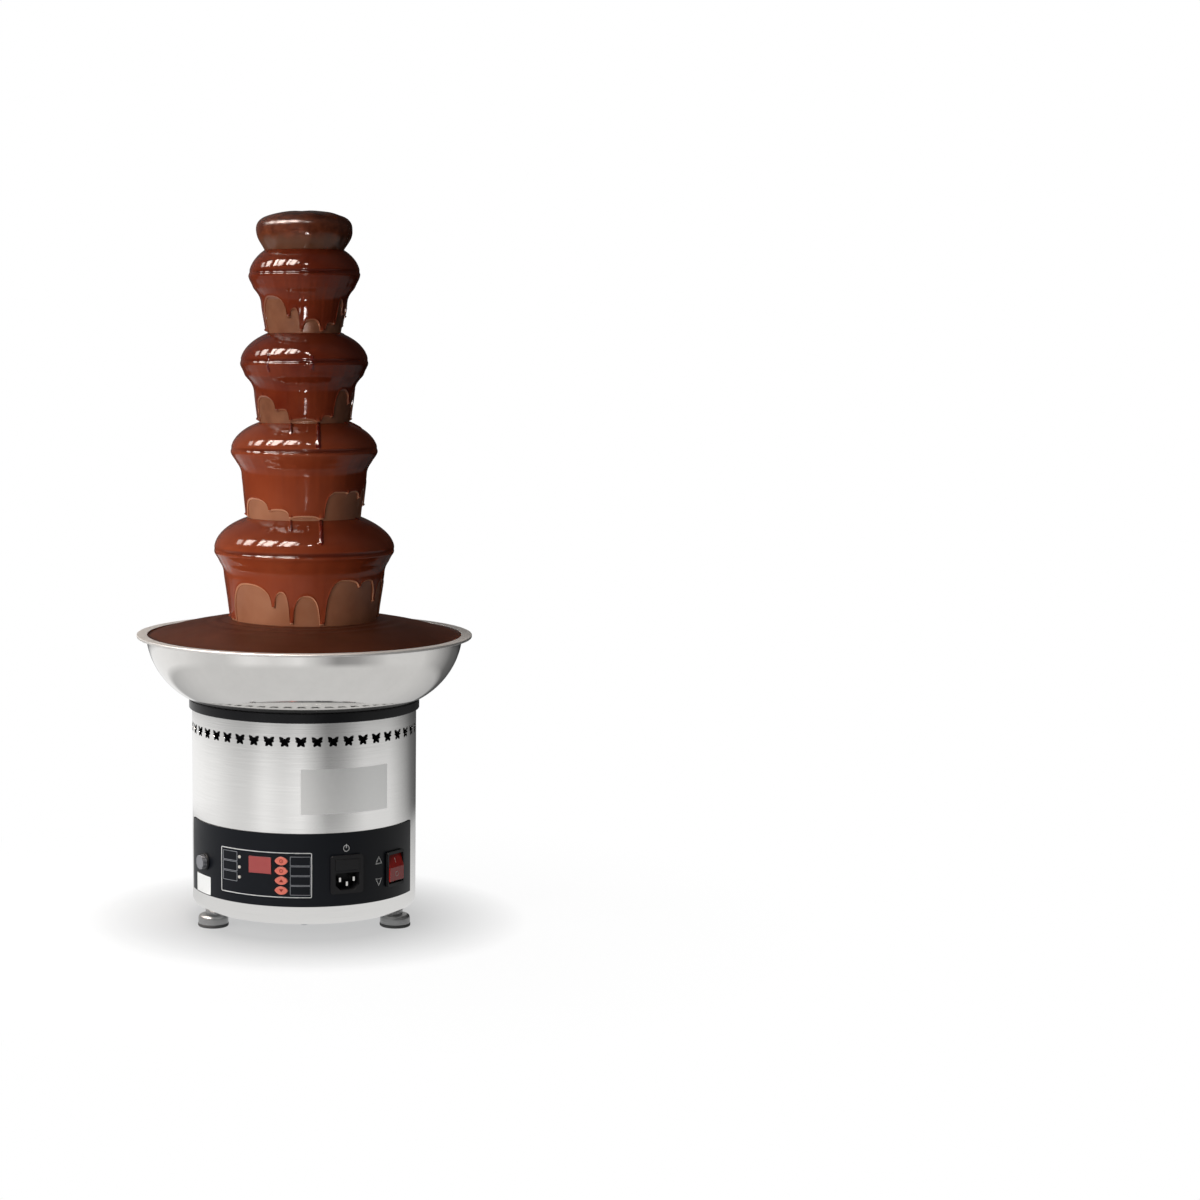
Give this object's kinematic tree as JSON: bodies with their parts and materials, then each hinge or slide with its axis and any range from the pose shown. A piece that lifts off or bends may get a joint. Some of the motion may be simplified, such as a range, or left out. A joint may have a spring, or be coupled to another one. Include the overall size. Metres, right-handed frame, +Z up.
{
  "type": "chocolate fountain",
  "caption": "Table chocolate fountain: round steel motor base with control panel and heated bowl, and a lift-off tower of domed tiers fed by a screw conveyor.",
  "frame": {"origin": "on the table under the middle of the tower", "axes": "+Z up along the tower, the controls face -Y, +X to the right"},
  "size_m": [0.3278, 0.3278, 0.691],
  "materials": {
    "satin_steel": "satin brushed",
    "zinc_steel": "zinc plated",
    "polished_steel": "polished",
    "black_gloss": "gloss",
    "panel_black": "gloss printed panel",
    "black_plastic": "fine matt",
    "grey_plastic": "fine matt",
    "rubber": "moulded",
    "brass": "machined",
    "aluminium": "cast",
    "circuit_board": "solder mask",
    "display_red": "tinted lens",
    "lamp": "clear dome",
    "nylon": "moulded",
    "switch_red": "gloss",
    "key_coral": "satin gloss",
    "fuse_glass": "clear",
    "running_chocolate": "wet gloss",
    "pool_chocolate": "wet gloss"
  },
  "bodies": {
    "base": {"base_shell": "satin_steel", "bottom_plate": "zinc_steel", "bottom_screws": "zinc_steel", "deck_pan": "zinc_steel", "bowl_ring": "black_gloss", "bowl": "polished_steel", "locating_pins": "polished_steel", "seal_housing": "polished_steel", "seal_nut": "brass", "shaft_seal": "rubber", "heater_plate": "aluminium", "heater_element": "zinc_steel", "thermal_cutout": "black_plastic", "gear_plate_upper": "zinc_steel", "gear_plate_lower": "zinc_steel", "gear_pillars": "zinc_steel", "idler_pin": "zinc_steel", "motor_can": "zinc_steel", "control_panel": "panel_black", "control_board": "circuit_board", "display_lens": "display_red", "display_module": "black_plastic", "indicator_lamps": "lamp", "power_inlet": "black_plastic", "inlet_pins": "polished_steel", "switch_frame": "black_plastic", "fuse_holder": "black_plastic", "chocolate_pool": "pool_chocolate"},
    "tower": {"tower_tube": "polished_steel", "top_cup": "polished_steel", "tier_dish_1": "polished_steel", "tier_dish_2": "polished_steel", "tier_dish_3": "polished_steel", "tier_dish_4": "polished_steel", "chocolate_flow_1": "running_chocolate", "chocolate_flow_2": "running_chocolate", "chocolate_flow_3": "running_chocolate", "chocolate_flow_4": "running_chocolate", "chocolate_crown": "running_chocolate"},
    "auger": {"auger_shaft": "polished_steel", "auger_flight": "polished_steel", "drive_shaft": "zinc_steel", "output_gear": "brass"},
    "idler": {"idler_gear": "nylon"},
    "motor_shaft": {"motor_rotor": "zinc_steel", "motor_pinion": "brass"},
    "rocker": {"rocker": "switch_red"},
    "key_1": {"key_1": "key_coral"},
    "key_2": {"key_2": "key_coral"},
    "key_3": {"key_3": "key_coral"},
    "key_4": {"key_4": "key_coral"},
    "fuse_cap": {"fuse_cap": "grey_plastic"},
    "fuse_drawer": {"fuse_drawer": "black_plastic", "drawer_fuse": "fuse_glass"},
    "foot_left": {"foot_left": "polished_steel", "foot_pad_left": "rubber"},
    "foot_right": {"foot_right": "polished_steel", "foot_pad_right": "rubber"},
    "foot_rear": {"foot_rear": "polished_steel", "foot_pad_rear": "rubber"}
  },
  "joints": [
    {"name": "auger_spin", "type": "hinge", "parent": "base", "child": "auger", "pos_m": [0, 0, 0.1365], "axis": [0, 0, 1], "continuous": true},
    {"name": "idler_spin", "type": "hinge", "parent": "base", "child": "idler", "pos_m": [-0.03507, 0.02025, 0.1365], "axis": [0, 0, 1], "continuous": true},
    {"name": "motor_spin", "type": "hinge", "parent": "base", "child": "motor_shaft", "pos_m": [-0.0003, 0.02957, 0.1365], "axis": [0, 0, 1], "continuous": true},
    {"name": "tower_lift", "type": "slide", "parent": "base", "child": "tower", "axis": [0, 0, 1], "range_m": [0, 0.47]},
    {"name": "power_rocker", "type": "hinge", "parent": "base", "child": "rocker", "pos_m": [0.08284, -0.06709, 0.064], "axis": [0.6293, 0.7771, 0], "range_deg": [0, 20]},
    {"name": "fuse_cap_turn", "type": "hinge", "parent": "base", "child": "fuse_cap", "pos_m": [-0.09857, -0.05923, 0.0673], "axis": [-0.8572, -0.515, 0], "range_deg": [0, 60]},
    {"name": "fuse_drawer_slide", "type": "slide", "parent": "base", "child": "fuse_drawer", "axis": [0.3584, -0.9336, 0], "range_m": [0, 0.018]},
    {"name": "key_1_press", "type": "slide", "parent": "base", "child": "key_1", "axis": [0.1942, 0.981, 0], "range_m": [0, 0.0008], "stiffness_N_per_m": 400, "springref_m": -0.0005},
    {"name": "key_2_press", "type": "slide", "parent": "base", "child": "key_2", "axis": [0.1942, 0.981, 0], "range_m": [0, 0.0008], "stiffness_N_per_m": 400, "springref_m": -0.0005},
    {"name": "key_3_press", "type": "slide", "parent": "base", "child": "key_3", "axis": [0.1942, 0.981, 0], "range_m": [0, 0.0008], "stiffness_N_per_m": 400, "springref_m": -0.0005},
    {"name": "key_4_press", "type": "slide", "parent": "base", "child": "key_4", "axis": [0.1942, 0.981, 0], "range_m": [0, 0.0008], "stiffness_N_per_m": 400, "springref_m": -0.0005},
    {"name": "foot_left_screw", "type": "slide", "parent": "base", "child": "foot_left", "axis": [0, 0, -1], "range_m": [0, 0.008]},
    {"name": "foot_right_screw", "type": "slide", "parent": "base", "child": "foot_right", "axis": [0, 0, -1], "range_m": [0, 0.008]},
    {"name": "foot_rear_screw", "type": "slide", "parent": "base", "child": "foot_rear", "axis": [0, 0, -1], "range_m": [0, 0.008]}
  ],
  "couplings": [
    {"joint": "idler_spin", "follows": "auger_spin", "ratio": -3.5},
    {"joint": "motor_spin", "follows": "auger_spin", "ratio": 14}
  ]
}
